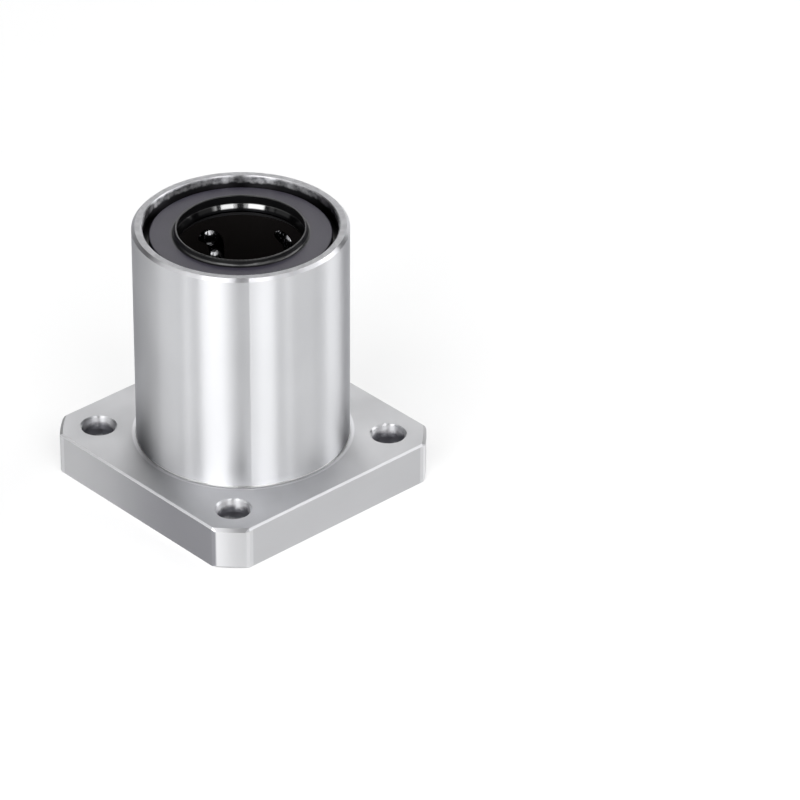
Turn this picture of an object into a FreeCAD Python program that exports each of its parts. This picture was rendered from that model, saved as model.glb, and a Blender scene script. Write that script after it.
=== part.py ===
import FreeCAD, Part
import math
import os
import Sketcher
from FreeCAD import Vector

# Square flange linear ball bearing for a 16 mm shaft, in millimetres.
# The origin is the centre of the bore in the flange's outer face.
# +Z runs along the bore, from the flange to the free end of the barrel.

doc = FreeCAD.newDocument("square_flange_linear_bearing")

# Driving dimensions: alias, value, what it measures
drivingSizes = [
    ("shaft_diameter", 16, "shaft that runs through the seals and between the loaded balls"),
    ("ball_diameter", 3.175, "one eighth inch ball"),
    ("running_clearance", 0.01, "loaded ball to the shaft, and to its race"),
    ("return_lift", 1.1, "return row further out than the loaded row"),
    ("relief_clearance", 0.115, "return balls to the relieved ends of the barrel"),
    ("groove_clearance", 0.1, "return balls to their grooves in the barrel"),
    ("ring_shoulder", 0.2, "step in the barrel that the side ring sits on"),
    ("barrel_wall", 1.4, "barrel wall round the seal"),
    ("barrel_length", 37, "barrel, end to end"),
    ("joint_step", 0.3, "barrel's end in the flange inside its ground outside"),
    ("foot_gap", 0.25, "ground outside of the barrel above the flange"),
    ("rim_chamfer", 0.4, "outer edge of the free end"),
    ("joint_chamfer", 0.2, "outer edge of the end that lies in the flange"),
    ("mouth_chamfer", 0.2, "edge of the seal recess"),
    ("flange_thickness", 6, "flange plate"),
    ("bore_wall", 1.15, "flange between its bore and the edge of a counterbore"),
    ("corner_wall", 0.65, "flange between a turned corner and the edge of a counterbore"),
    ("side_wall", 0.865, "flange between a flat side and the edge of a counterbore"),
    ("turned_chamfer", 0.4, "edges of the turned corners"),
    ("side_chamfer", 0.25, "edges of the flat sides"),
    ("seat_gap", 0.1, "flat face of the flange outside the barrel"),
    ("bolt_hole_diameter", 4.5, "clearance hole for a 4 mm screw"),
    ("counterbore_diameter", 7.5, "seat of the screw head"),
    ("counterbore_depth", 4.1, "seat of the screw head"),
    ("hole_chamfer", 0.2, "both ends of each bolt hole"),
    ("seal_recess", 1.2, "seal face below the end of the barrel"),
    ("seal_thickness", 1.7, "seal without its lip"),
    ("seal_shelf", 1.1, "depth of the gap round the seal face"),
    ("seal_gap", 0.8, "width of the gap round the seal face"),
    ("seal_edge", 0.2, "rounded edge of the seal face"),
    ("lip_width", 0.62, "foot of the lip, outside the shaft"),
    ("lip_slope", 0.17, "crown of the lip, outside the shaft"),
    ("lip_crown", 0.27, "width of the crown"),
    ("lip_rise", 0.8, "crown above the seal face"),
    ("lip_round", 0.1, "rounded edges of the crown"),
    ("lip_cove", 0.45, "hollow round at the foot of the lip"),
    ("lip_waist", 0.42, "hollow between the crown and the wiping edge, outside the shaft"),
    ("waist_depth", 0.5, "hollow below the seal face"),
    ("lip_reach", 1.35, "wiping edge below the seal face"),
    ("lip_land", 0.2, "width of the wiping edge"),
    ("lip_relief", 0.9, "underside of the seal, outside the shaft"),
    ("ring_thickness", 0.6, "side ring"),
    ("ring_gap", 0.1, "side ring inside the seal recess"),
    ("ring_step", 0.2, "side ring's bore outside the retainer's"),
    ("retainer_shaft_gap", 0.4, "retainer to the shaft"),
    ("retainer_race_gap", 0.145, "retainer to the loaded race"),
    ("retainer_chamfer", 0.3, "end edges of the retainer"),
    ("track_clearance", 0.0625, "balls to the walls of their track"),
    ("end_web", 0.55, "retainer beyond the end of a track"),
    ("ball_gap", 0.32, "space between the balls of a row"),
    ("turn_gap", 0.01, "least space between the balls of a turn"),
    ("circuits", 5, "ball circuits round the bore"),
    ("row_angle", 26, "loaded row to return row of one circuit, in degrees"),
    ("first_row", 233.5, "first loaded row round from +X, in degrees"),
]
sizes = doc.addObject("Spreadsheet::Sheet", "sizes")
for row, (alias, number, meaning) in enumerate(drivingSizes, 1):
    sizes.set(f"A{row}", meaning)
    sizes.set(f"B{row}", str(number))
    sizes.setAlias(f"B{row}", alias)
doc.recompute()

# Places and radii that several pieces share, worked out from the driving dimensions
sharedPlaces = [
    ("shaft_radius", "sizes.shaft_diameter / 2"),
    ("ball_radius", "sizes.ball_diameter / 2"),
    ("loaded_radius", "shared.shaft_radius + sizes.running_clearance + shared.ball_radius"),
    ("race_radius", "shared.loaded_radius + shared.ball_radius + sizes.running_clearance"),
    ("return_radius", "shared.loaded_radius + sizes.return_lift"),
    ("relief_radius", "shared.return_radius + shared.ball_radius + sizes.relief_clearance"),
    ("recess_radius", "shared.relief_radius + sizes.ring_shoulder"),
    ("barrel_radius", "shared.recess_radius + sizes.barrel_wall"),
    ("joint_radius", "shared.barrel_radius - sizes.joint_step"),
    ("hole_reach", "sizes.counterbore_diameter / 2 + sizes.hole_chamfer"),
    ("bolt_radius", "shared.joint_radius + sizes.joint_chamfer + sizes.bore_wall + shared.hole_reach"),
    ("turned_radius", "shared.bolt_radius + shared.hole_reach + sizes.corner_wall + sizes.turned_chamfer"),
    ("half_side", "shared.bolt_radius * cos(45) + shared.hole_reach + sizes.side_wall + sizes.side_chamfer"),
    ("ring_depth", "sizes.seal_recess + sizes.seal_thickness"),
    ("retainer_depth", "shared.ring_depth + sizes.ring_thickness"),
    ("retainer_bore", "shared.shaft_radius + sizes.retainer_shaft_gap"),
    ("retainer_radius", "shared.race_radius - sizes.retainer_race_gap"),
    ("track_radius", "shared.ball_radius + sizes.track_clearance"),
    ("middle", "sizes.barrel_length / 2"),
    # each circuit lies in a plane beside the bore, and these are its rows in that plane
    ("loaded_tilt", "atan((shared.loaded_radius / shared.return_radius - cos(sizes.row_angle))"
                    " / sin(sizes.row_angle)) / 1 deg"),
    ("plane_distance", "shared.loaded_radius * cos(shared.loaded_tilt)"),
    ("loaded_side", "-shared.loaded_radius * sin(shared.loaded_tilt)"),
    ("return_side", "shared.return_radius * sin(sizes.row_angle - shared.loaded_tilt)"),
    ("turn_radius", "(shared.return_side - shared.loaded_side) / 2"),
    ("turn_side", "(shared.return_side + shared.loaded_side) / 2"),
    ("half_straight", "shared.middle - shared.retainer_depth - sizes.end_web"
                      " - shared.track_radius - shared.turn_radius"),
    ("ball_pitch", "sizes.ball_diameter + sizes.ball_gap"),
    ("circuit_turn", "sizes.first_row + 90 + shared.loaded_tilt"),
]
shared = doc.addObject("App::VarSet", "shared")
for name, expression in sharedPlaces:
    shared.addProperty("App::PropertyFloat", name)
    shared.setExpression(name, expression)
    doc.recompute()


def value(expression):
    # the present number of an expression, for the first drawing of a sketch
    return float(doc.getObject("sizes").evalExpression(expression))


def newBody(label):
    body = doc.addObject("PartDesign::Body", label)
    body.Label = label
    return body


def newSketch(body, name, role, offset="0"):
    plane = [item for item in body.Origin.OriginFeatures if item.Role == role][0]
    sketch = body.newObject("Sketcher::SketchObject", name)
    sketch.AttachmentSupport = [(plane, "")]
    sketch.MapMode = "FlatFace"
    sketch.setExpression("AttachmentOffset.Base.z", offset)
    return sketch


def fixPoint(sketch, curve, end, place):
    # holds one end or centre of a curve at a place given by two expressions
    for kind, expression in zip(("DistanceX", "DistanceY"), place):
        constraint = Sketcher.Constraint(kind, -1, 1, curve, end, value(expression))
        index = sketch.addConstraint(constraint)
        sketch.setExpression(f"Constraints[{index}]", expression)


def drawOutline(sketch, places):
    # a closed outline of straight lines through the places
    points = [Vector(value(across), value(up), 0) for across, up in places]
    first = sketch.GeometryCount
    total = len(points)
    for index in range(total):
        sketch.addGeometry(Part.LineSegment(points[index], points[(index + 1) % total]), False)
    for index in range(total):
        following = first + (index + 1) % total
        sketch.addConstraint(Sketcher.Constraint("Coincident", first + index, 2, following, 1))
        fixPoint(sketch, first + index, 1, places[index])


def drawCircle(sketch, place, radius):
    centre = Vector(value(place[0]), value(place[1]), 0)
    circle = sketch.addGeometry(Part.Circle(centre, Vector(0, 0, 1), value(radius)), False)
    fixPoint(sketch, circle, 3, place)
    index = sketch.addConstraint(Sketcher.Constraint("Radius", circle, value(radius)))
    sketch.setExpression(f"Constraints[{index}]", radius)


def drawLoop(sketch, radius):
    # the line of one circuit: two straight rows joined by two half turns of the given radius
    side = value("shared.turn_side")
    reach = value(radius)
    low = value("shared.middle - shared.half_straight")
    high = value("shared.middle + shared.half_straight")
    upright = Vector(0, 0, 1)
    first = sketch.GeometryCount
    top = Part.Circle(Vector(side, high, 0), upright, reach)
    bottom = Part.Circle(Vector(side, low, 0), upright, reach)
    sketch.addGeometry([
        Part.LineSegment(Vector(side + reach, low, 0), Vector(side + reach, high, 0)),
        Part.ArcOfCircle(top, 0, math.pi),
        Part.LineSegment(Vector(side - reach, high, 0), Vector(side - reach, low, 0)),
        Part.ArcOfCircle(bottom, math.pi, 2 * math.pi),
    ], False)
    for index in range(4):
        following = first + (index + 1) % 4
        sketch.addConstraint(Sketcher.Constraint("Tangent", first + index, 2, following, 1))
    fixPoint(sketch, first + 1, 3, ("shared.turn_side", "shared.middle + shared.half_straight"))
    fixPoint(sketch, first + 3, 3, ("shared.turn_side", "shared.middle - shared.half_straight"))
    index = sketch.addConstraint(Sketcher.Constraint("Radius", first + 1, reach))
    sketch.setExpression(f"Constraints[{index}]", radius)


def addRevolution(body, name, places):
    # turns an outline of radius and height pairs about the Z axis
    sketch = newSketch(body, name + "_outline", "XZ_Plane")
    drawOutline(sketch, places)
    revolution = body.newObject("PartDesign::Revolution", name)
    revolution.Profile = sketch
    revolution.ReferenceAxis = (sketch, ["V_Axis"])
    revolution.Angle = 360
    doc.recompute()
    return revolution


def circleEdges(feature, radius, height, axisDistance="0"):
    # the names of the round edges of one size at one height, all at one distance from the Z axis
    tiny = 1e-4
    names = []
    for index, edge in enumerate(feature.Shape.Edges, 1):
        curve = edge.Curve
        if not isinstance(curve, Part.Circle):
            continue
        centre = curve.Center
        away = math.hypot(centre.x, centre.y)
        misses = (curve.Radius - value(radius), centre.z - value(height), away - value(axisDistance))
        if max(abs(miss) for miss in misses) < tiny:
            names.append(f"Edge{index}")
    return names


def dressEdges(body, kind, name, edges, size):
    # a chamfer or fillet on the named edges of the body's last feature
    feature = body.newObject("PartDesign::" + kind, name)
    feature.Base = (body.Tip, edges) if body.Tip is not feature else (feature.BaseFeature, edges)
    feature.setExpression("Radius" if kind == "Fillet" else "Size", size)
    doc.recompute()
    return feature


# outer_cylinder: the hardened barrel, with its loaded race, five return grooves,
# relieved ends where the balls turn, and a recess for a ring and seal at each end
def makeOuterCylinder():
    body = newBody("outer_cylinder")
    length = "sizes.barrel_length"
    low = [
        ("shared.joint_radius - sizes.joint_chamfer", "0"),
        ("shared.joint_radius", "sizes.joint_chamfer"),
        ("shared.joint_radius", "sizes.flange_thickness + sizes.foot_gap"),
        ("shared.barrel_radius", "sizes.flange_thickness + sizes.foot_gap"),
    ]
    high = [
        ("shared.barrel_radius", f"{length} - sizes.rim_chamfer"),
        ("shared.barrel_radius - sizes.rim_chamfer", length),
    ]
    bore = [
        ("shared.recess_radius + sizes.mouth_chamfer", "0"),
        ("shared.recess_radius", "sizes.mouth_chamfer"),
        ("shared.recess_radius", "shared.retainer_depth"),
        ("shared.relief_radius", "shared.retainer_depth"),
        ("shared.relief_radius", "shared.middle - shared.half_straight"),
        ("shared.race_radius", "shared.middle - shared.half_straight"),
    ]
    mirrored = [(radius, f"{length} - ({height})") for radius, height in bore]
    addRevolution(body, "turned_barrel", low + high + mirrored + bore[::-1])

    sketch = newSketch(body, "return_groove_outline", "XY_Plane", "shared.middle")
    drawCircle(sketch, ("shared.return_side", "-shared.plane_distance"),
               "shared.ball_radius + sizes.groove_clearance")
    groove = body.newObject("PartDesign::Pocket", "return_groove")
    groove.Profile = sketch
    groove.Midplane = True
    groove.setExpression("Length", "2 * shared.half_straight")
    doc.recompute()
    patternRound(body, "return_grooves", [groove], "sizes.circuits")
    turnCircuits(body, 0)
    return body


def patternRound(body, name, features, count):
    axis = [item for item in body.Origin.OriginFeatures if item.Role == "Z_Axis"][0]
    pattern = body.newObject("PartDesign::PolarPattern", name)
    pattern.Originals = features
    pattern.Axis = (axis, [""])
    pattern.Angle = 360
    pattern.setExpression("Occurrences", count)
    body.Tip = pattern
    doc.recompute()
    return pattern


def turnCircuits(item, circuit):
    # every circuit is drawn beside -Y and turned about the Z axis to its own place
    item.Placement = FreeCAD.Placement(Vector(), FreeCAD.Rotation(Vector(0, 0, 1), 1))
    item.setExpression("Placement.Rotation.Angle", f"shared.circuit_turn + {circuit} * 360 / sizes.circuits")
    doc.recompute()


# square_flange: turned to its corner diameter, then milled to four flat sides,
# with a counterbored hole near each corner
def makeSquareFlange():
    body = newBody("square_flange")
    thickness = "sizes.flange_thickness"
    bore = "shared.joint_radius"
    addRevolution(body, "turned_disc", [
        (f"{bore} + sizes.joint_chamfer", "0"),
        ("shared.turned_radius", "0"),
        ("shared.turned_radius", thickness),
        ("shared.barrel_radius + sizes.seat_gap", thickness),
        (bore, f"{thickness} - sizes.joint_step - sizes.seat_gap"),
        (bore, "sizes.joint_chamfer"),
    ])

    signs = [(-1, -1), (1, -1), (1, 1), (-1, 1)]
    outside = "shared.turned_radius + sizes.flange_thickness"
    sketch = newSketch(body, "flat_sides_outline", "XY_Plane")
    for reach in (outside, "shared.half_side"):
        drawOutline(sketch, [(f"{x} * ({reach})", f"{y} * ({reach})") for x, y in signs])
    sides = body.newObject("PartDesign::Pocket", "flat_sides")
    sides.Profile = sketch
    sides.Reversed = True
    sides.Type = "ThroughAll"
    doc.recompute()
    dressEdges(body, "Chamfer", "side_chamfers", flatSideEdges(sides), "sizes.side_chamfer")

    chamfer = "sizes.turned_chamfer"
    sketch = newSketch(body, "turned_edges_outline", "XZ_Plane")
    for height, inward in (("0", "1"), (thickness, "-1")):
        drawOutline(sketch, [
            (f"shared.turned_radius - {chamfer}", height),
            ("shared.turned_radius", f"{height} + {inward} * {chamfer}"),
            (outside, f"{height} + {inward} * {chamfer}"),
            (outside, f"{height} - {inward} * {chamfer}"),
            (f"shared.turned_radius - {chamfer}", f"{height} - {inward} * {chamfer}"),
        ])
    edges = body.newObject("PartDesign::Groove", "turned_edges")
    edges.Profile = sketch
    edges.ReferenceAxis = (sketch, ["V_Axis"])
    edges.Angle = 360
    doc.recompute()

    sketch = newSketch(body, "bolt_centres", "XY_Plane")
    for x, y in signs:
        drawCircle(sketch, (f"{x} * shared.bolt_radius * cos(45)", f"{y} * shared.bolt_radius * sin(45)"),
                   "sizes.bolt_hole_diameter / 2")
    doc.recompute()
    hole = body.newObject("PartDesign::Hole", "bolt_holes")
    hole.Profile = sketch
    hole.Reversed = True
    hole.DepthType = "ThroughAll"
    hole.Threaded = False
    hole.setExpression("Diameter", "sizes.bolt_hole_diameter")
    hole.HoleCutType = "Counterbore"
    hole.HoleCutCustomValues = True
    hole.setExpression("HoleCutDiameter", "sizes.counterbore_diameter")
    hole.setExpression("HoleCutDepth", "sizes.counterbore_depth")
    doc.recompute()
    names = circleEdges(hole, "sizes.bolt_hole_diameter / 2", thickness, "shared.bolt_radius")
    names += circleEdges(hole, "sizes.counterbore_diameter / 2", "0", "shared.bolt_radius")
    dressEdges(body, "Chamfer", "hole_chamfers", names, "sizes.hole_chamfer")
    return body


def flatSideEdges(feature):
    # the straight edges of the four milled sides, lying and upright
    half = value("shared.half_side")
    names = []
    for index, edge in enumerate(feature.Shape.Edges, 1):
        if not isinstance(edge.Curve, Part.Line):
            continue
        ends = [vertex.Point for vertex in edge.Vertexes]
        if all(abs(max(abs(end.x), abs(end.y)) - half) < 1e-6 for end in ends):
            names.append(f"Edge{index}")
    return names


# ball_retainer: moulded sleeve with a closed ball track for each circuit.
# A track opens outwards all the way round, and the loaded row also shows through to the shaft.
def makeBallRetainer():
    body = newBody("ball_retainer")
    low = "shared.retainer_depth"
    high = "sizes.barrel_length - shared.retainer_depth"
    chamfer = "sizes.retainer_chamfer"
    addRevolution(body, "moulded_sleeve", [
        ("shared.retainer_bore", low),
        (f"shared.retainer_radius - {chamfer}", low),
        ("shared.retainer_radius", f"{low} + {chamfer}"),
        ("shared.retainer_radius", f"{high} - {chamfer}"),
        (f"shared.retainer_radius - {chamfer}", high),
        ("shared.retainer_bore", high),
    ])

    spine = newSketch(body, "track_line", "XZ_Plane", "shared.plane_distance")
    drawLoop(spine, "shared.turn_radius")
    section = newSketch(body, "track_section", "XY_Plane", "shared.middle")
    drawCircle(section, ("shared.return_side", "-shared.plane_distance"), "shared.track_radius")
    doc.recompute()
    floor = body.newObject("PartDesign::SubtractivePipe", "track_floor")
    floor.Profile = section
    floor.Spine = spine
    doc.recompute()

    sketch = newSketch(body, "track_mouth_outline", "XZ_Plane", "shared.plane_distance")
    drawLoop(sketch, "shared.turn_radius + shared.track_radius")
    drawLoop(sketch, "shared.turn_radius - shared.track_radius")
    mouth = body.newObject("PartDesign::Pocket", "track_mouth")
    mouth.Profile = sketch
    mouth.Reversed = True
    mouth.Type = "ThroughAll"
    doc.recompute()
    patternRound(body, "ball_tracks", [floor, mouth], "sizes.circuits")
    turnCircuits(body, 0)
    return body


# A seal and its side ring are drawn with the end of the barrel at height 0 and +Z outwards
def placeAtEnd(body, atFreeEnd):
    if atFreeEnd:
        body.setExpression("Placement.Base.z", "sizes.barrel_length")
    else:
        body.Placement = FreeCAD.Placement(Vector(), FreeCAD.Rotation(Vector(1, 0, 0), 180))
    doc.recompute()


# seals: a pressed-in rubber ring whose raised lip wipes the shaft
def makeSeal(label, atFreeEnd):
    body = newBody(label)
    face = "-sizes.seal_recess"
    foot = "-shared.ring_depth"
    shaft = "shared.shaft_radius"
    crown = f"{face} + sizes.lip_rise"
    edge = "shared.recess_radius - sizes.seal_gap"
    turned = addRevolution(body, "seal_ring", [
        ("shared.recess_radius", foot),
        ("shared.recess_radius", f"{face} - sizes.seal_shelf"),
        (edge, f"{face} - sizes.seal_shelf"),
        (edge, face),
        (f"{shaft} + sizes.lip_width", face),
        (f"{shaft} + sizes.lip_slope + sizes.lip_crown", crown),
        (f"{shaft} + sizes.lip_slope", crown),
        (f"{shaft} + sizes.lip_waist", f"{face} - sizes.waist_depth"),
        (shaft, f"{face} - sizes.lip_reach"),
        (shaft, f"{face} - sizes.lip_reach - sizes.lip_land"),
        (f"{shaft} + sizes.lip_relief", foot),
    ])
    names = circleEdges(turned, f"{shaft} + sizes.lip_width", face)
    cove = dressEdges(body, "Fillet", "lip_cove", names, "sizes.lip_cove")
    names = circleEdges(cove, f"{shaft} + sizes.lip_slope + sizes.lip_crown", crown)
    names += circleEdges(cove, f"{shaft} + sizes.lip_slope", crown)
    crownRound = dressEdges(body, "Fillet", "lip_crown_round", names, "sizes.lip_round")
    names = circleEdges(crownRound, edge, face)
    dressEdges(body, "Fillet", "face_round", names, "sizes.seal_edge")
    placeAtEnd(body, atFreeEnd)
    return body


# side rings: flat steel washers that keep the retainer and its balls in the barrel
def makeSideRing(label, atFreeEnd):
    body = newBody(label)
    inner = "shared.retainer_bore + sizes.ring_step"
    outer = "shared.recess_radius - sizes.ring_gap"
    addRevolution(body, "washer", [
        (inner, "-shared.retainer_depth"),
        (outer, "-shared.retainer_depth"),
        (outer, "-shared.ring_depth"),
        (inner, "-shared.ring_depth"),
    ])
    placeAtEnd(body, atFreeEnd)
    return body


def rowHeights(count):
    # the balls of one straight row, from the middle of the barrel
    return [f"({2 * index - count + 1}) / 2 * shared.ball_pitch" for index in range(count)]


def turnPlaces(heights):
    # the balls of one turn, evenly spaced along the track between the last balls of the two rows,
    # as many as fit with the least gap, each by its side and its height from the middle
    radius = value("shared.turn_radius")
    straight = value("shared.half_straight")
    tail = straight - value(heights[-1])
    path = math.pi * radius + 2 * tail
    apart = value("sizes.ball_diameter + sizes.turn_gap")
    count = 0
    while 2 * radius * math.sin(path / (count + 2) / 2 / radius) >= apart:
        count += 1
    angles = [math.degrees(((index + 1) * path / (count + 1) - tail) / radius) for index in range(count)]
    return [(f"shared.turn_side + shared.turn_radius * cos({angle:.6f})",
             f"shared.half_straight + shared.turn_radius * sin({angle:.6f})") for angle in angles]


def fillTrack():
    # as many balls in a straight row as fit there and leave room for a ball in the turn
    count = int(2 * value("shared.half_straight / shared.ball_pitch")) + 1
    while count > 1 and not turnPlaces(rowHeights(count)):
        count -= 1
    return rowHeights(count), turnPlaces(rowHeights(count))


# balls: one group for each row and for the two turns of each circuit
def makeBalls(label, circuit, places):
    balls = []
    for side, height in places:
        ball = doc.addObject("Part::Sphere", label + "_ball")
        ball.setExpression("Radius", "shared.ball_radius")
        ball.setExpression("Placement.Base.x", side)
        ball.setExpression("Placement.Base.y", "-shared.plane_distance")
        ball.setExpression("Placement.Base.z", f"shared.middle + ({height})")
        balls.append(ball)
    group = doc.addObject("Part::Compound", label)
    group.Label = label
    group.Links = balls
    turnCircuits(group, circuit)
    return group


subParts = [makeOuterCylinder(), makeSquareFlange(), makeBallRetainer()]
for end, atFreeEnd in (("free_end", True), ("flange_end", False)):
    subParts.append(makeSeal(end + "_seal", atFreeEnd))
    subParts.append(makeSideRing(end + "_side_ring", atFreeEnd))

heights, turns = fillTrack()
for circuit in range(int(value("sizes.circuits"))):
    number = circuit + 1
    loadedRow = [("shared.loaded_side", height) for height in heights]
    returnRow = [("shared.return_side", height) for height in heights]
    bothTurns = turns + [(side, f"-({height})") for side, height in turns]
    subParts.append(makeBalls(f"loaded_balls_{number}", circuit, loadedRow))
    subParts.append(makeBalls(f"return_balls_{number}", circuit, returnRow))
    subParts.append(makeBalls(f"turn_balls_{number}", circuit, bothTurns))

# Nothing is written unless every object and every sub-part is sound
for item in doc.Objects:
    if "Invalid" in item.State or "Error" in item.State:
        raise RuntimeError(f"{item.Label} failed: {item.State}")
for part in subParts:
    if part.Shape.isNull() or not part.Shape.isValid():
        raise RuntimeError(f"{part.Label} has no sound shape")

os.makedirs("parts", exist_ok=True)
for part in subParts:
    part.Shape.exportStep(f"parts/{part.Label}.step")
    box = part.Shape.BoundBox
    print(f"{part.Label}: {len(part.Shape.Solids)} solids, {part.Shape.Volume:.2f} mm3,"
          f" z {box.ZMin:.3f} to {box.ZMax:.3f}, width {box.XLength:.3f} x {box.YLength:.3f}")
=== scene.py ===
import bmesh
import bpy
import math
from mathutils import Matrix, Vector


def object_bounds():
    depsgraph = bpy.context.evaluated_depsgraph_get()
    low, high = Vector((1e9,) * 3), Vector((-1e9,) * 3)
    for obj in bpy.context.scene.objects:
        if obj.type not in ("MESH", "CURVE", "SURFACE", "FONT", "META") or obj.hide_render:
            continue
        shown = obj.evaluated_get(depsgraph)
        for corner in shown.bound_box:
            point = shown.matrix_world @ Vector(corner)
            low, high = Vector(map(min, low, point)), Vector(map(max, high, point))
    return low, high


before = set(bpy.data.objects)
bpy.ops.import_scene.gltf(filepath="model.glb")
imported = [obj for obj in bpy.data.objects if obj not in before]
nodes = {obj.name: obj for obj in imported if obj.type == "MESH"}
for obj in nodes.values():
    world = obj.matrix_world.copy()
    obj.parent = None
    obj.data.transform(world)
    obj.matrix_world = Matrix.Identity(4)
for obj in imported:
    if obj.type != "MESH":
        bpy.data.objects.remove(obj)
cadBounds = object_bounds()
middle = (cadBounds[0] + cadBounds[1]) / 2
mm = 0.001
print("frame loaded,", len(nodes), "nodes")

# where the photograph was taken from
shot = {
    "turn": 49.27,        # degrees round from -Y towards +X
    "tilt": 31.34,        # degrees above the horizon
    "roll": -0.71,        # degrees
    "away": 0.679,        # metres from the lens to the middle of the bearing
    "lens": 235.5,        # mm
    "sensor": 36,         # mm across
    "picture": 800,       # pixels across
    "sideways": -157.8,   # pixels from the middle of the picture to the middle of the bearing
    "upwards": 52.0,
    "nearest": 0.01,      # metres from the lens, where the view begins and ends
    "furthest": 20,
}


def directionFrom(turn, tilt):
    # degrees round from -Y towards +X, and degrees above the horizon
    turn = math.radians(turn)
    tilt = math.radians(tilt)
    return Vector((math.sin(turn) * math.cos(tilt), -math.cos(turn) * math.cos(tilt), math.sin(tilt)))


def placeCamera():
    turn = math.radians(shot["turn"])
    back = directionFrom(shot["turn"], shot["tilt"])
    right = Vector((math.cos(turn), math.sin(turn), 0))
    up = back.cross(right)
    pixels = shot["lens"] / shot["sensor"] * shot["picture"]
    facing = Matrix((right, up, back)).transposed()
    facing = facing @ Matrix.Rotation(math.radians(shot["roll"]), 3, "Z")
    facing = facing @ Matrix.Rotation(math.atan(shot["sideways"] / pixels), 3, "Y")
    facing = facing @ Matrix.Rotation(-math.atan(shot["upwards"] / pixels), 3, "X")
    camera = bpy.data.objects.new("camera", bpy.data.cameras.new("camera"))
    camera.data.lens = shot["lens"]
    camera.data.sensor_width = shot["sensor"]
    camera.data.clip_start = shot["nearest"]
    camera.data.clip_end = shot["furthest"]
    camera.matrix_world = Matrix.Translation(middle + back * shot["away"]) @ facing.to_4x4()
    bpy.context.scene.collection.objects.link(camera)
    bpy.context.scene.camera = camera


placeCamera()
print("camera placed")


# node helpers
def startMaterial(name):
    material = bpy.data.materials.new(name)
    material.use_nodes = True
    tree = material.node_tree
    tree.nodes.clear()
    output = tree.nodes.new("ShaderNodeOutputMaterial")
    return material, tree, output


def feed(tree, socket, given):
    # another node's output, or a fixed value
    if isinstance(given, bpy.types.NodeSocket):
        tree.links.new(given, socket)
    else:
        socket.default_value = given


def addNode(tree, kind, inputs=None, **settings):
    node = tree.nodes.new(kind)
    for name, setting in settings.items():
        setattr(node, name, setting)
    for name, given in (inputs or {}).items():
        feed(tree, node.inputs[name], given)
    return node


def combine(tree, operation, *given):
    # a Math node's value
    return addNode(tree, "ShaderNodeMath", dict(enumerate(given)), operation=operation).outputs[0]


def multiply(tree, first, *others):
    for other in others:
        first = combine(tree, "MULTIPLY", first, other)
    return first


def invert(tree, mask):
    return combine(tree, "SUBTRACT", 1.0, mask)


def combineVectors(tree, operation, *given):
    return addNode(tree, "ShaderNodeVectorMath", dict(enumerate(given)), operation=operation).outputs[0]


def flatten(tree, vector):
    # the vector without its height
    return combineVectors(tree, "MULTIPLY", vector, (1, 1, 0))


def measureLength(tree, vector):
    return addNode(tree, "ShaderNodeVectorMath", {0: vector}, operation="LENGTH").outputs["Value"]


def upwardPart(tree, vector):
    return addNode(tree, "ShaderNodeSeparateXYZ", {0: vector}).outputs["Z"]


def faceNormal(tree):
    return addNode(tree, "ShaderNodeNewGeometry").outputs["Normal"]


def rescale(tree, given, fromLow, fromHigh, toLow, toHigh, smooth=False):
    kind = "SMOOTHSTEP" if smooth else "LINEAR"
    return addNode(tree, "ShaderNodeMapRange", {
        "Value": given,
        "From Min": fromLow,
        "From Max": fromHigh,
        "To Min": toLow,
        "To Max": toHigh,
    }, interpolation_type=kind).outputs[0]


def blend(tree, kind, mask, first, second):
    # the second shows where the mask is 1, and the kind is RGBA or VECTOR
    mix = addNode(tree, "ShaderNodeMix", {0: mask}, data_type=kind)
    for name, given in (("A", first), ("B", second)):
        socket = [item for item in mix.inputs if item.name == name and item.type == kind][0]
        feed(tree, socket, given)
    return [item for item in mix.outputs if item.type == kind][0]


def blendColours(tree, mask, first, second):
    return blend(tree, "RGBA", mask, first, second)


def startGroup(name, inputs, outputs):
    group = bpy.data.node_groups.new(name, "ShaderNodeTree")
    for title, kind, usual in inputs:
        socket = group.interface.new_socket(name=title, in_out="INPUT", socket_type=kind)
        if usual is not None:
            socket.default_value = usual
    for title, kind in outputs:
        group.interface.new_socket(name=title, in_out="OUTPUT", socket_type=kind)
    return group, group.nodes.new("NodeGroupInput"), group.nodes.new("NodeGroupOutput")


# how far a face leans, from 0 on an upright wall over 0.71 on a chamfer to 1 on an end face
leaning = {
    "wall": (0.2, 0.6),    # a wall below these, and a chamfer or an end face above
    "end": (0.75, 0.85),   # a chamfer below these, and an end face above
    "flat": (0.6, 0.8),    # the same, with a chamfer about half flat
}
noiseSpread = (0.3, 0.7)   # most of what a noise gives
noiseMiddle = 0.5
sharpFade = 0.02 * mm      # half the width over which a narrow mask fades
markDepth = 0.02 * mm


def measureLean(tree, facing):
    return combine(tree, "ABSOLUTE", upwardPart(tree, facing))


def maskWalls(tree):
    return rescale(tree, measureLean(tree, faceNormal(tree)), *leaning["wall"], 1.0, 0.0)


def maskEnds(tree):
    return rescale(tree, measureLean(tree, faceNormal(tree)), *leaning["end"], 0.0, 1.0)


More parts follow.
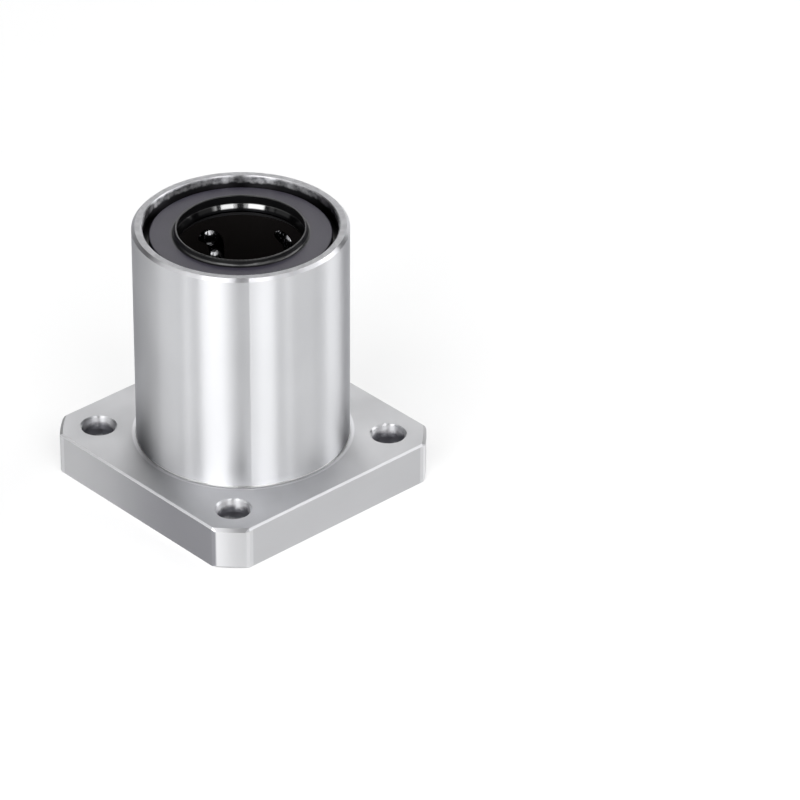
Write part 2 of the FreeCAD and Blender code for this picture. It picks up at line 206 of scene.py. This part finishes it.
# the relief that the grinding wheel and the lathe leave: it runs round the bore,
# mark above mark on an upright wall and mark outside mark on a flat face
def makeToolMarks():
    group, given, result = startGroup("tool marks", [
        ("Place", "NodeSocketVector", None),
        ("Facing", "NodeSocketVector", None),
        ("Marks per Metre", "NodeSocketFloat", 4000.0),
        ("Breaks", "NodeSocketFloat", 3.0),
    ], [
        ("Marks", "NodeSocketFloat"),
    ])
    place = given.outputs["Place"]
    across = flatten(group, place)
    outwards = combineVectors(group, "NORMALIZE", across)
    spread = addNode(group, "ShaderNodeVectorMath", {0: outwards, "Scale": given.outputs["Breaks"]},
                     operation="SCALE").outputs[0]
    isFlat = rescale(group, measureLean(group, given.outputs["Facing"]), *leaning["flat"], 0.0, 1.0)
    flatShare = multiply(group, measureLength(group, across), isFlat)
    wallShare = multiply(group, upwardPart(group, place), invert(group, isFlat))
    count = multiply(group, combine(group, "ADD", flatShare, wallShare), given.outputs["Marks per Metre"])
    lifted = addNode(group, "ShaderNodeCombineXYZ", {"Z": count}).outputs[0]
    noise = addNode(group, "ShaderNodeTexNoise", {
        "Vector": combineVectors(group, "ADD", spread, lifted),
        "Scale": 1.0,
        "Detail": 3.0,
        "Roughness": 0.6,
    })
    group.links.new(noise.outputs[0], result.inputs["Marks"])
    return group


# soft blotches of handling and oil, with a fine grain in them
def makeHandling():
    group, given, result = startGroup("handling", [
        ("Place", "NodeSocketVector", None),
        ("Blotches per Metre", "NodeSocketFloat", 90.0),
        ("Grains per Metre", "NodeSocketFloat", 6000.0),
    ], [
        ("Blotches", "NodeSocketFloat"),
        ("Grain", "NodeSocketFloat"),
    ])
    blotches = addNode(group, "ShaderNodeTexNoise", {
        "Vector": given.outputs["Place"],
        "Scale": given.outputs["Blotches per Metre"],
        "Detail": 3.0,
        "Distortion": 0.4,
    })
    grain = addNode(group, "ShaderNodeTexNoise", {
        "Vector": given.outputs["Place"],
        "Scale": given.outputs["Grains per Metre"],
        "Detail": 2.0,
    })
    group.links.new(rescale(group, blotches.outputs[0], *noiseSpread, 0.0, 1.0), result.inputs["Blotches"])
    group.links.new(rescale(group, grain.outputs[0], *noiseSpread, 0.0, 1.0), result.inputs["Grain"])
    return group


toolMarks = makeToolMarks()
handling = makeHandling()


def measurePlace(tree, place):
    # distance from the bore's axis, and height from the middle of the barrel
    radius = measureLength(tree, flatten(tree, place))
    height = combine(tree, "ABSOLUTE", combine(tree, "SUBTRACT", upwardPart(tree, place), middle.z))
    return radius, height


def maskBelow(tree, measured, limit, fade=sharpFade):
    # 1 where the measured length is under the limit, fading to 0 over it
    return rescale(tree, measured, limit - fade, limit + fade, 1.0, 0.0, smooth=True)


def makeWaver(tree, place, tones):
    # an uneven length to either side of 0, and the noise that it comes from
    noise = addNode(tree, "ShaderNodeTexNoise", {
        "Vector": place,
        "Scale": tones["waversPerMetre"],
        "Detail": tones["waverDetail"],
    }).outputs[0]
    return multiply(tree, combine(tree, "SUBTRACT", noise, noiseMiddle), tones["waver"]), noise


def markDirection(tree, endMarks):
    # along the grinding marks: level round the walls, and straight across the end faces
    level = combineVectors(tree, "CROSS_PRODUCT", (0, 0, 1), faceNormal(tree))
    return blend(tree, "VECTOR", maskEnds(tree), combineVectors(tree, "NORMALIZE", level), endMarks)


# what the barrel, the flange and the rings share
steel = {
    "unevenness": (0.4, 1.6),   # marks and blotches added, where smoothest and where roughest
    "markTurn": 0.25,           # share of a turn from the tangent
}


def makeWorkedSteel(name, finish):
    material, tree, output = startMaterial(name)
    coordinates = addNode(tree, "ShaderNodeTexCoord")
    place = coordinates.outputs["Object"]
    marks = addNode(tree, "ShaderNodeGroup", {
        "Place": place,
        "Facing": coordinates.outputs["Normal"],
        "Marks per Metre": finish["marks"],
        "Breaks": finish["breaks"],
    }, node_tree=toolMarks).outputs["Marks"]
    blotches = addNode(tree, "ShaderNodeGroup", {
        "Place": place,
        "Blotches per Metre": finish["blotches"],
    }, node_tree=handling).outputs["Blotches"]
    clean = blendColours(tree, blotches, finish["colour"], finish["dullColour"])
    # the finish's own tones, with light and shade painted on them
    colour, addedRoughness = finish["toneAndPaintedLight"](tree, place, clean)
    unevenness = combine(tree, "ADD", marks, blotches)
    roughness = rescale(tree, unevenness, *steel["unevenness"], *finish["roughness"])
    if addedRoughness is not None:
        roughness = combine(tree, "ADD", roughness, addedRoughness)
    bump = addNode(tree, "ShaderNodeBump", {
        "Strength": finish["bump"],
        "Distance": markDepth,
        "Height": marks,
    })
    shader = addNode(tree, "ShaderNodeBsdfPrincipled", {
        "Base Color": colour,
        "Metallic": 1.0,
        "Roughness": roughness,
        "Specular Tint": finish["edgeTint"],
        "Anisotropic": finish["anisotropy"],
        "Anisotropic Rotation": steel["markTurn"],
        "Tangent": markDirection(tree, finish["endMarks"]),
        "Normal": bump.outputs[0],
    })
    tree.links.new(shader.outputs[0], output.inputs["Surface"])
    return material


# the barrel has painted shade inside its seal recess, up to an uneven line just inside the mouth,
# with painted mottled reflections and shade on the mouth's wall above that line; its ground ends
# are painted paler than its side, a painted highlight; and the groove over the flange is painted
# white, painted light where shade falls
barrelTones = {
    # painted shade: the seal recess is painted near black below an uneven line
    "recessRadius": 12.7 * mm,
    "recessHeight": 17.6 * mm,    # from the middle of the barrel
    "recessFade": 0.22 * mm,
    "recessShadeColour": (0.025, 0.024, 0.027, 1),
    # painted mottled reflections and shade on the mouth's wall, above the recess's painted shade
    "mouthReflectionColours": ((0.15, 0.15, 0.16, 1), (0.52, 0.52, 0.54, 1)),
    # painted highlight: the ground ends are painted paler than the side, mottled by the same speckle
    "rimHighlightColours": ((0.78, 0.78, 0.80, 1), (0.92, 0.92, 0.94, 1)),
    "chamferColour": (0.64, 0.64, 0.66, 1),
    "waversPerMetre": 1100.0,
    "waverDetail": 3.0,
    "speckleSpread": (0.35, 0.65),
    "waver": 0.5 * mm,
    # painted light: the groove over the flange is painted white against the shade that falls in it
    "grooveRadius": 13.96 * mm,
    "grooveHeight": 12.7 * mm,    # from the middle of the barrel
    "grooveFade": 0.1 * mm,
    "grooveLightColour": (1, 1, 1, 1),
}


def colourBarrelAndPaintLight(tree, place, clean):
    radius, height = measurePlace(tree, place)
    waver, noise = makeWaver(tree, place, barrelTones)
    speckle = rescale(tree, noise, *barrelTones["speckleSpread"], 0.0, 1.0)
    rim = blendColours(tree, speckle, *barrelTones["rimHighlightColours"])
    mouth = blendColours(tree, speckle, *barrelTones["mouthReflectionColours"])
    isInside = maskBelow(tree, radius, barrelTones["recessRadius"])
    isDeep = maskBelow(tree, combine(tree, "ADD", height, waver), barrelTones["recessHeight"],
                       barrelTones["recessFade"])
    inGroove = multiply(tree, maskBelow(tree, radius, barrelTones["grooveRadius"]),
                        maskBelow(tree, height, barrelTones["grooveHeight"], barrelTones["grooveFade"]),
                        invert(tree, isInside))
    colour = blendColours(tree, maskWalls(tree), barrelTones["chamferColour"], clean)
    colour = blendColours(tree, maskEnds(tree), colour, rim)
    colour = blendColours(tree, isInside, colour, mouth)
    # painted light in the groove over the flange
    colour = blendColours(tree, inGroove, colour, barrelTones["grooveLightColour"])
    # painted shade deep in the recess
    isShaded = multiply(tree, isDeep, isInside)
    return blendColours(tree, isShaded, colour, barrelTones["recessShadeColour"]), None


barrelFinish = {
    "toneAndPaintedLight": colourBarrelAndPaintLight,
    "endMarks": (0.652, 0.758, 0),
    "edgeTint": (0.50, 0.50, 0.52, 1),
    "colour": (0.62, 0.625, 0.64, 1),
    "dullColour": (0.60, 0.605, 0.62, 1),
    "roughness": (0.35, 0.39),
    "anisotropy": 1.0,
    "marks": 5000.0,
    "breaks": 5.0,
    "blotches": 90.0,
    "bump": 0.10,
}

# the flange: its milled sides are darker than its turned corners; the walls of the bolt holes
# carry painted shade low down and a painted highlight near their top, above their foot; painted
# shade on the side towards -Y deepens towards a corner; the chamfers carry painted highlights
# towards -Y and +X and painted shade on the turned corners; the groove at the barrel is painted
# white against its shade, and the ring round the groove is a painted highlight
flangeTones = {
    "milledColour": (0.55, 0.552, 0.565, 1),
    "cornerColour": (0.66, 0.662, 0.675, 1),
    "cornerRadius": 23.5 * mm,
    "cornerFade": 0.05 * mm,
    "topRoughness": 0.05,
    "boltPlace": 13.435 * mm,     # of the bolt holes, both in X and in Y
    # painted shade low on the bolt holes' walls, and a painted highlight near their top
    "holeRadius": 3.9 * mm,
    "holeFoot": 2.1 * mm,
    "holeFootFade": 0.3 * mm,
    "holeShadeRise": (4.4 * mm, 5.4 * mm),
    "holeShadeColour": (0.17, 0.17, 0.19, 1),
    "holeHighlightColour": (0.78, 0.78, 0.80, 1),
    "holeRoughness": 0.22,
    "waversPerMetre": 900.0,
    "waverDetail": 2.0,
    "waver": 1.6 * mm,
    # painted shade on the side towards -Y, deepening towards a corner
    "sideShadePlace": (-18.3 * mm, -18.2 * mm),
    "sideShadeLength": (-14 * mm, 8 * mm),
    "sideShadeColour": (0.29, 0.29, 0.31, 1),
    # painted highlights on the chamfers towards -Y and +X, painted shade on the corners' chamfers
    "chamferPlace": (18.2 * mm, 18.25 * mm),
    "leftChamferHighlight": (0.95, 0.95, 0.97, 1),
    "rightChamferHighlight": (0.70, 0.70, 0.72, 1),
    "cornerChamferShade": (0.45, 0.45, 0.46, 1),
    # painted light: the groove at the barrel is painted white against the shade that falls in it
    "grooveRadius": 14.11 * mm,
    "grooveLightColour": (1, 1, 1, 1),
    # painted highlight: a pale ring round the groove
    "highlightRingRadius": 14.55 * mm,
    "highlightRingFade": 0.12 * mm,
    "highlightRingColour": (0.78, 0.78, 0.80, 1),
}


def paintChamferLight(tree, parts, isMilled, clean):
    # painted highlights towards -Y and +X, painted shade on the chamfers of the turned corners
    inner, outer = flangeTones["chamferPlace"]
    onLeft = rescale(tree, parts["Y"], -outer, -inner, 1.0, 0.0)
    onRight = rescale(tree, parts["X"], inner, outer, 0.0, 1.0)
    colour = blendColours(tree, isMilled, flangeTones["cornerChamferShade"], clean)
    colour = blendColours(tree, onLeft, colour, flangeTones["leftChamferHighlight"])
    return blendColours(tree, onRight, colour, flangeTones["rightChamferHighlight"])


def colourTop(tree, radius, isChamfer, chamfers, clean):
    # the painted highlight ring and the groove's painted light lie over the flat face and its chamfers
    onHighlightRing = maskBelow(tree, radius, flangeTones["highlightRingRadius"], flangeTones["highlightRingFade"])
    inGroove = maskBelow(tree, radius, flangeTones["grooveRadius"])
    colour = blendColours(tree, isChamfer, clean, chamfers)
    colour = blendColours(tree, onHighlightRing, colour, flangeTones["highlightRingColour"])
    return blendColours(tree, inGroove, colour, flangeTones["grooveLightColour"])


def paintHoleLight(tree, place, isWall):
    # the painted shade and highlight up the walls of the bolt holes, and the mask of those walls
    mirrored = combineVectors(tree, "ABSOLUTE", place)
    boltAxis = (flangeTones["boltPlace"], flangeTones["boltPlace"], 0)
    away = measureLength(tree, flatten(tree, combineVectors(tree, "SUBTRACT", mirrored, boltAxis)))
    waver, _ = makeWaver(tree, place, flangeTones)
    height = combine(tree, "ADD", upwardPart(tree, place), waver)
    isLow = rescale(tree, height, *flangeTones["holeShadeRise"], 1.0, 0.0, smooth=True)
    foot = flangeTones["holeFoot"]
    fade = flangeTones["holeFootFade"]
    overFoot = rescale(tree, height, foot - fade, foot + fade, 0.0, 1.0)
    byBolt = multiply(tree, isWall, maskBelow(tree, away, flangeTones["holeRadius"]), overFoot)
    return blendColours(tree, isLow, flangeTones["holeHighlightColour"], flangeTones["holeShadeColour"]), byBolt


def colourFlangeAndPaintLight(tree, place, clean):
    parts = addNode(tree, "ShaderNodeSeparateXYZ", {0: place}).outputs
    radius = measureLength(tree, flatten(tree, place))
    isWall = maskWalls(tree)
    isChamfer = combine(tree, "SUBTRACT", invert(tree, isWall), maskEnds(tree))
    isMilled = maskBelow(tree, radius, flangeTones["cornerRadius"], flangeTones["cornerFade"])
    chamfers = paintChamferLight(tree, parts, isMilled, clean)
    top = colourTop(tree, radius, isChamfer, chamfers, clean)
    upright = blendColours(tree, isMilled, flangeTones["cornerColour"], flangeTones["milledColour"])
    hole, byBolt = paintHoleLight(tree, place, isWall)
    colour = blendColours(tree, byBolt, blendColours(tree, isWall, top, upright), hole)
    # painted shade on the side towards -Y, deepening towards a corner
    isSide = rescale(tree, parts["Y"], *flangeTones["sideShadePlace"], 1.0, 0.0)
    along = rescale(tree, parts["X"], *flangeTones["sideShadeLength"], 0.0, 1.0, smooth=True)
    isSideShaded = multiply(tree, isSide, along, isWall)
    onTop = rescale(tree, upwardPart(tree, faceNormal(tree)), *leaning["flat"], 0.0,
                    flangeTones["topRoughness"])
    addedRoughness = combine(tree, "ADD", onTop, multiply(tree, byBolt, flangeTones["holeRoughness"]))
    return blendColours(tree, isSideShaded, colour, flangeTones["sideShadeColour"]), addedRoughness


flangeFinish = {
    "toneAndPaintedLight": colourFlangeAndPaintLight,
    "endMarks": (0.758, -0.652, 0),
    "edgeTint": (1, 1, 1, 1),
    "colour": (0.595, 0.597, 0.61, 1),
    "dullColour": (0.555, 0.557, 0.57, 1),
    "roughness": (0.36, 0.42),
    "anisotropy": 0.95,
    "marks": 3500.0,
    "breaks": 4.0,
    "blotches": 120.0,
    "bump": 0.15,
}


def paintNoLight(tree, place, clean):
    return clean, None


ringFinish = {
    "toneAndPaintedLight": paintNoLight,
    "endMarks": (1, 0, 0),
    "edgeTint": (1, 1, 1, 1),
    "colour": (0.10, 0.10, 0.105, 1),
    "dullColour": (0.07, 0.07, 0.075, 1),
    "roughness": (0.40, 0.55),
    "anisotropy": 0.3,
    "marks": 2500.0,
    "breaks": 6.0,
    "blotches": 200.0,
    "bump": 0.15,
}


# the seal is matt on its face and glossy black on its lip, with a thin glossy coat that is thickest
# on one side of the hollow inside the crown, a painted highlight; the gap round the face is painted
# black, painted shade, and inside the crown the rubber is a near-black metal, painted shade
sealFinish = {
    "faceColour": (0.030, 0.027, 0.040, 1),
    "rubbedColour": (0.0354, 0.03186, 0.0472, 1),
    "faceRoughness": (0.35, 0.45),
    "blackColour": (0.004, 0.004, 0.0045, 1),
    "lipRoughness": 0.30,
    "lipRadius": 8.95 * mm,
    "lipFade": 0.12 * mm,
    "edgeRadius": 11.72 * mm,
    "edgeFade": 0.05 * mm,
    "specular": 0.5,
    "blotches": 260.0,
    "grains": 5000.0,
    "bump": 0.12,
    "sheenBandTop": 16.75 * mm,            # both from the middle of the barrel
    "sheenBandBottom": 16.25 * mm,
    "sheenBandFade": 0.10 * mm,
    "hollowRadius": 8.5 * mm,
    "sheenSide": (-0.758, 0.653, 0),   # towards the side of the lip where the painted highlight is thickest
    "sheenSpread": (0.89, 0.95),       # cosines where the painted highlight begins and is thickest
    "thinSheen": 0.05,
    "lipOil": 0.05,
    "sheenGloss": 3.0,
    "sheenRoughness": 0.10,
}


def spreadPaintedSheen(tree, place, radius):
    # painted highlight: thin all round, and thickest on one side
    towards = addNode(tree, "ShaderNodeVectorMath", {0: place, 1: sealFinish["sheenSide"]},
                      operation="DOT_PRODUCT").outputs["Value"]
    return rescale(tree, combine(tree, "DIVIDE", towards, radius), *sealFinish["sheenSpread"],
                   sealFinish["thinSheen"], 1.0, smooth=True)


def makeSealRubber():
    material, tree, output = startMaterial("seal rubber")
    place = addNode(tree, "ShaderNodeTexCoord").outputs["Object"]
    radius, height = measurePlace(tree, place)
    onLip = maskBelow(tree, radius, sealFinish["lipRadius"], sealFinish["lipFade"])
    insideEdge = maskBelow(tree, radius, sealFinish["edgeRadius"], sealFinish["edgeFade"])
    onFace = multiply(tree, invert(tree, onLip), insideEdge)
    underTop = maskBelow(tree, height, sealFinish["sheenBandTop"], sealFinish["sheenBandFade"])
    underBottom = maskBelow(tree, height, sealFinish["sheenBandBottom"], sealFinish["sheenBandFade"])
    insideLip = maskBelow(tree, radius, sealFinish["hollowRadius"])
    # painted highlight: a glossy band inside the crown, thickest on one side
    paintedSheen = multiply(tree, insideLip, spreadPaintedSheen(tree, place, radius),
                        combine(tree, "SUBTRACT", underTop, underBottom))
    onCrown = multiply(tree, invert(tree, underTop), invert(tree, onFace))
    touched = addNode(tree, "ShaderNodeGroup", {
        "Place": place,
        "Blotches per Metre": sealFinish["blotches"],
        "Grains per Metre": sealFinish["grains"],
    }, node_tree=handling)
    face = blendColours(tree, touched.outputs["Blotches"], sealFinish["faceColour"],
                        sealFinish["rubbedColour"])
    faceRoughness = rescale(tree, touched.outputs["Grain"], 0.0, 1.0, *sealFinish["faceRoughness"])
    rougher = combine(tree, "SUBTRACT", faceRoughness, sealFinish["lipRoughness"])
    bump = addNode(tree, "ShaderNodeBump", {
        "Strength": sealFinish["bump"],
        "Distance": markDepth,
        "Height": multiply(tree, touched.outputs["Grain"], onFace),
    })
    shader = addNode(tree, "ShaderNodeBsdfPrincipled", {
        # painted shade: outside the face's edge, in the gap, the rubber is painted black like the lip
        "Base Color": blendColours(tree, onFace, sealFinish["blackColour"], face),
        # painted shade: inside the crown the rubber is a near-black metal, which reflects almost nothing
        "Metallic": multiply(tree, insideLip, underTop),
        "Roughness": combine(tree, "MULTIPLY_ADD", rougher, onFace, sealFinish["lipRoughness"]),
        "Specular IOR Level": sealFinish["specular"],
        "Coat Weight": combine(tree, "MULTIPLY_ADD", onCrown, sealFinish["lipOil"], paintedSheen),
        "Coat Roughness": sealFinish["sheenRoughness"],
        "Coat IOR": sealFinish["sheenGloss"],
        "Normal": bump.outputs[0],
    })
    tree.links.new(shader.outputs[0], output.inputs["Surface"])
    return material


# the retainer is moulded: a fine grain all over, and paler where the resin flowed
resinFinish = {
    "colour": (0.0046, 0.0037, 0.0035, 1),
    "flowColour": (0.0058, 0.0047, 0.0045, 1),
    "roughness": (0.44, 0.56),
    "specular": 0.15,
    "blotches": 150.0,
    "grains": 4000.0,
}


def makeBlackResin():
    material, tree, output = startMaterial("retainer resin")
    touched = addNode(tree, "ShaderNodeGroup", {
        "Place": addNode(tree, "ShaderNodeTexCoord").outputs["Object"],
        "Blotches per Metre": resinFinish["blotches"],
        "Grains per Metre": resinFinish["grains"],
    }, node_tree=handling)
    shader = addNode(tree, "ShaderNodeBsdfPrincipled", {
        "Base Color": blendColours(tree, touched.outputs["Blotches"], resinFinish["colour"],
                                   resinFinish["flowColour"]),
        "Roughness": rescale(tree, touched.outputs["Grain"], 0.0, 1.0, *resinFinish["roughness"]),
        "Specular IOR Level": resinFinish["specular"],
    })
    tree.links.new(shader.outputs[0], output.inputs["Surface"])
    return material


# the balls are polished, with a thin uneven film of grease; their steel is made dark, painted shade of the
# bore round them
ballFinish = {
    "colour": (0.21, 0.21, 0.22, 1),
    "greasedColour": (0.17, 0.17, 0.175, 1),
    "roughness": (0.11, 0.16),
    "blotches": 420.0,
}


def makeBallSteel():
    material, tree, output = startMaterial("ball steel")
    greased = addNode(tree, "ShaderNodeGroup", {
        "Place": addNode(tree, "ShaderNodeTexCoord").outputs["Object"],
        "Blotches per Metre": ballFinish["blotches"],
    }, node_tree=handling).outputs["Blotches"]
    shader = addNode(tree, "ShaderNodeBsdfPrincipled", {
        "Base Color": blendColours(tree, greased, ballFinish["colour"], ballFinish["greasedColour"]),
        "Metallic": 1.0,
        "Roughness": rescale(tree, greased, 0.0, 1.0, *ballFinish["roughness"]),
    })
    tree.links.new(shader.outputs[0], output.inputs["Surface"])
    return material


def dressNode(name, material):
    mesh = nodes[name].data
    if not mesh.materials:
        mesh.materials.append(material)
    for index in range(len(mesh.materials)):
        mesh.materials[index] = material


groundSteel = makeWorkedSteel("ground barrel steel", barrelFinish)
milledSteel = makeWorkedSteel("milled flange steel", flangeFinish)
ringSteel = makeWorkedSteel("stamped ring steel", ringFinish)
sealRubber = makeSealRubber()
blackResin = makeBlackResin()
ballSteel = makeBallSteel()
dressNode("outer_cylinder", groundSteel)
dressNode("square_flange", milledSteel)
dressNode("ball_retainer", blackResin)
for end in ("free_end", "flange_end"):
    dressNode(end + "_seal", sealRubber)
    dressNode(end + "_side_ring", ringSteel)
for name in nodes:
    if "_balls_" in name:
        dressNode(name, ballSteel)
print("materials on")


# a pale floor, a soft room and softboxes
stage = {
    "floorRadius": 0.9,
    "floorSides": 96,
    "floorGap": 0.02 * mm,
    "floorColour": (0.97, 0.97, 0.97, 1),
    "floorGlow": 0.55,       # share of plain white in the floor, to the lens and in the metal
    "roomColour": (0.93, 0.95, 1, 1),
    "horizon": 0.95,         # brightness of the room low down, behind the floor
    "ceiling": 0.02,         # and higher up
    "ceilingStart": 0.04,    # upward part of the directions in which the ceiling begins
}


def blendShaders(tree, share, first, second):
    return addNode(tree, "ShaderNodeMixShader", {0: share, 1: first, 2: second}).outputs[0]


def makePaleFloor():
    # pale with an even white over it, and clear from below
    material, tree, output = startMaterial("pale floor")
    plain = addNode(tree, "ShaderNodeBsdfDiffuse", {"Color": stage["floorColour"]}).outputs[0]
    white = addNode(tree, "ShaderNodeEmission", {"Color": (1, 1, 1, 1), "Strength": 1.0}).outputs[0]
    clear = addNode(tree, "ShaderNodeBsdfTransparent").outputs[0]
    ray = addNode(tree, "ShaderNodeLightPath").outputs
    isSeen = combine(tree, "MAXIMUM", ray["Is Camera Ray"], ray["Is Glossy Ray"])
    isSeen = combine(tree, "MAXIMUM", isSeen, ray["Is Transmission Ray"])
    glowing = blendShaders(tree, multiply(tree, isSeen, stage["floorGlow"]), plain, white)
    fromBelow = addNode(tree, "ShaderNodeNewGeometry").outputs["Backfacing"]
    tree.links.new(blendShaders(tree, fromBelow, glowing, clear), output.inputs["Surface"])
    return material


def makeFloor():
    mesh = bpy.data.meshes.new("floor")
    floor = bpy.data.objects.new("floor", mesh)
    bpy.context.scene.collection.objects.link(floor)
    shape = bmesh.new()
    bmesh.ops.create_circle(shape, cap_ends=True, radius=stage["floorRadius"], segments=stage["floorSides"])
    bmesh.ops.translate(shape, verts=shape.verts, vec=(0, 0, -stage["floorGap"]))
    shape.to_mesh(mesh)
    shape.free()
    mesh.materials.append(makePaleFloor())


def makeWorld():
    world = bpy.data.worlds.new("studio")
    bpy.context.scene.world = world
    world.use_nodes = True
    tree = world.node_tree
    tree.nodes.clear()
    output = addNode(tree, "ShaderNodeOutputWorld")
    height = upwardPart(tree, addNode(tree, "ShaderNodeTexCoord").outputs["Generated"])
    brightness = rescale(tree, height, 0.0, stage["ceilingStart"], stage["horizon"], stage["ceiling"],
                         smooth=True)
    room = addNode(tree, "ShaderNodeBackground", {"Color": stage["roomColour"], "Strength": brightness})
    tree.links.new(room.outputs[0], output.inputs["Surface"])


# each softbox: degrees right of the camera, degrees up, metres away, width, height, brightness
softboxes = {
    "left end": (-102, 34, 0.8, 0.11, 0.5, 1.2),
    "left wing": (-78, 32, 0.8, 0.40, 0.9, 1.4),
    "left edge": (-56, 32, 0.8, 0.13, 0.9, 2.45),
    "left key": (-28.3, 32, 0.8, 0.37, 0.9, 4.3),
    "left key skirt": (-11, 32, 0.8, 0.12, 0.9, 1.1),
    "right key skirt": (10, 32, 0.8, 0.10, 0.9, 1.5),
    "right key": (23.5, 32, 0.8, 0.28, 0.9, 3.55),
    "right edge": (47, 32, 0.8, 0.13, 0.9, 2.1),
    "right wing": (65, 32, 0.8, 0.34, 0.9, 0.92),
    "right strip": (104.5, 32, 0.8, 0.36, 0.9, 3.25),
    "low back": (165, 12, 0.9, 0.95, 0.3, 1.55),
    "back": (180, 32, 0.9, 0.6, 0.3, 1.6),
}


def placeSoftboxes():
    for name, (right, up, away, width, height, brightness) in softboxes.items():
        back = directionFrom(shot["turn"] + right, up)
        light = bpy.data.lights.new(name, "AREA")
        light.shape = "RECTANGLE"
        light.size = width
        light.size_y = height
        light.energy = brightness * math.pi * width * height
        lamp = bpy.data.objects.new(name, light)
        lamp.location = back * away
        lamp.rotation_mode = "QUATERNION"
        lamp.rotation_quaternion = back.to_track_quat("Z", "Y")
        bpy.context.scene.collection.objects.link(lamp)


makeFloor()
makeWorld()
placeSoftboxes()
bpy.context.scene.view_settings.view_transform = "Standard"
print("stage and lights set")
